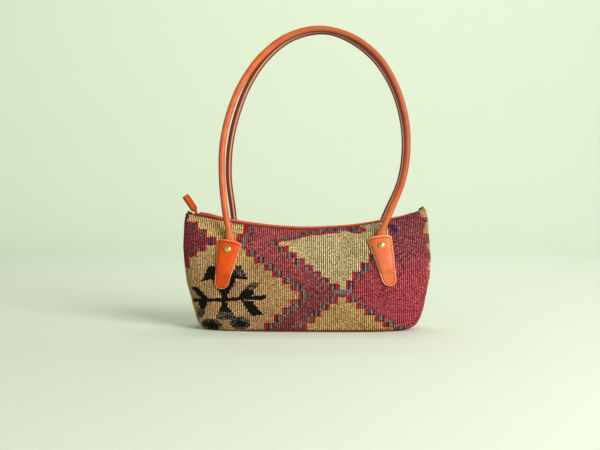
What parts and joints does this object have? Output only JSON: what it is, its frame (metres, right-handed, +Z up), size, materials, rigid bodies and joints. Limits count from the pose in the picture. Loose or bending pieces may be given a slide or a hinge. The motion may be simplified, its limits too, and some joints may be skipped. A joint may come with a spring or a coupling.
{
  "type": "kilim baguette bag",
  "caption": "Boat-shaped handbag of flat-woven wool on a leather base, with a zip between leather pipings and rolled leather handles that fold down.",
  "frame": {"origin": "middle of the underside of the base, where the bag stands", "axes": "+X along the bag to the viewer's right, +Y from the front to the back, +Z up"},
  "size_m": [0.32, 0.0936, 0.3919],
  "materials": {
    "kilim": "ribbed flat weave",
    "leather": "smooth tan hide",
    "lining": "plain cotton",
    "zip_tape": "twill tape",
    "zip_teeth": "moulded",
    "brass": "polished"
  },
  "bodies": {
    "bag": {"base_panel": "leather", "lining": "lining", "front_panel": "kilim", "back_panel": "kilim", "front_rim_piping": "leather", "back_rim_piping": "leather", "front_zip_tape": "zip_tape", "back_zip_tape": "zip_tape", "front_zip_teeth": "zip_teeth", "back_zip_teeth": "zip_teeth", "left_zip_stop": "brass", "right_zip_stop": "brass", "front_left_handle_end": "leather", "front_right_handle_end": "leather", "back_left_handle_end": "leather", "back_right_handle_end": "leather", "front_left_tab": "leather", "front_right_tab": "leather", "back_left_tab": "leather", "back_right_tab": "leather", "front_left_rivet": "brass", "front_right_rivet": "brass", "back_left_rivet": "brass", "back_right_rivet": "brass", "front_left_rivet_back": "brass", "front_right_rivet_back": "brass", "back_left_rivet_back": "brass", "back_right_rivet_back": "brass"},
    "slider": {"zip_slider": "brass", "zip_slider_foot": "brass"},
    "pull": {"zip_pull": "leather"},
    "front_loop": {"front_handle": "leather"},
    "back_loop": {"back_handle": "leather"}
  },
  "joints": [
    {"name": "zip_slide", "type": "hinge", "parent": "bag", "child": "slider", "pos_m": [0, 0, 0.69652], "axis": [0, -1, 0], "range_deg": [0, 29.49]},
    {"name": "zip_pull_swing", "type": "hinge", "parent": "slider", "child": "pull", "pos_m": [-0.14431, 0, 0.14827], "axis": [0.9671, 0, -0.2546], "range_deg": [-50, 50]},
    {"name": "front_handle_fold", "type": "hinge", "parent": "bag", "child": "front_loop", "pos_m": [0, -0.03824, 0.128], "axis": [1, 0, 0], "range_deg": [0, 118]},
    {"name": "back_handle_fold", "type": "hinge", "parent": "bag", "child": "back_loop", "pos_m": [0, 0.03824, 0.128], "axis": [-1, 0, 0], "range_deg": [0, 118]}
  ]
}
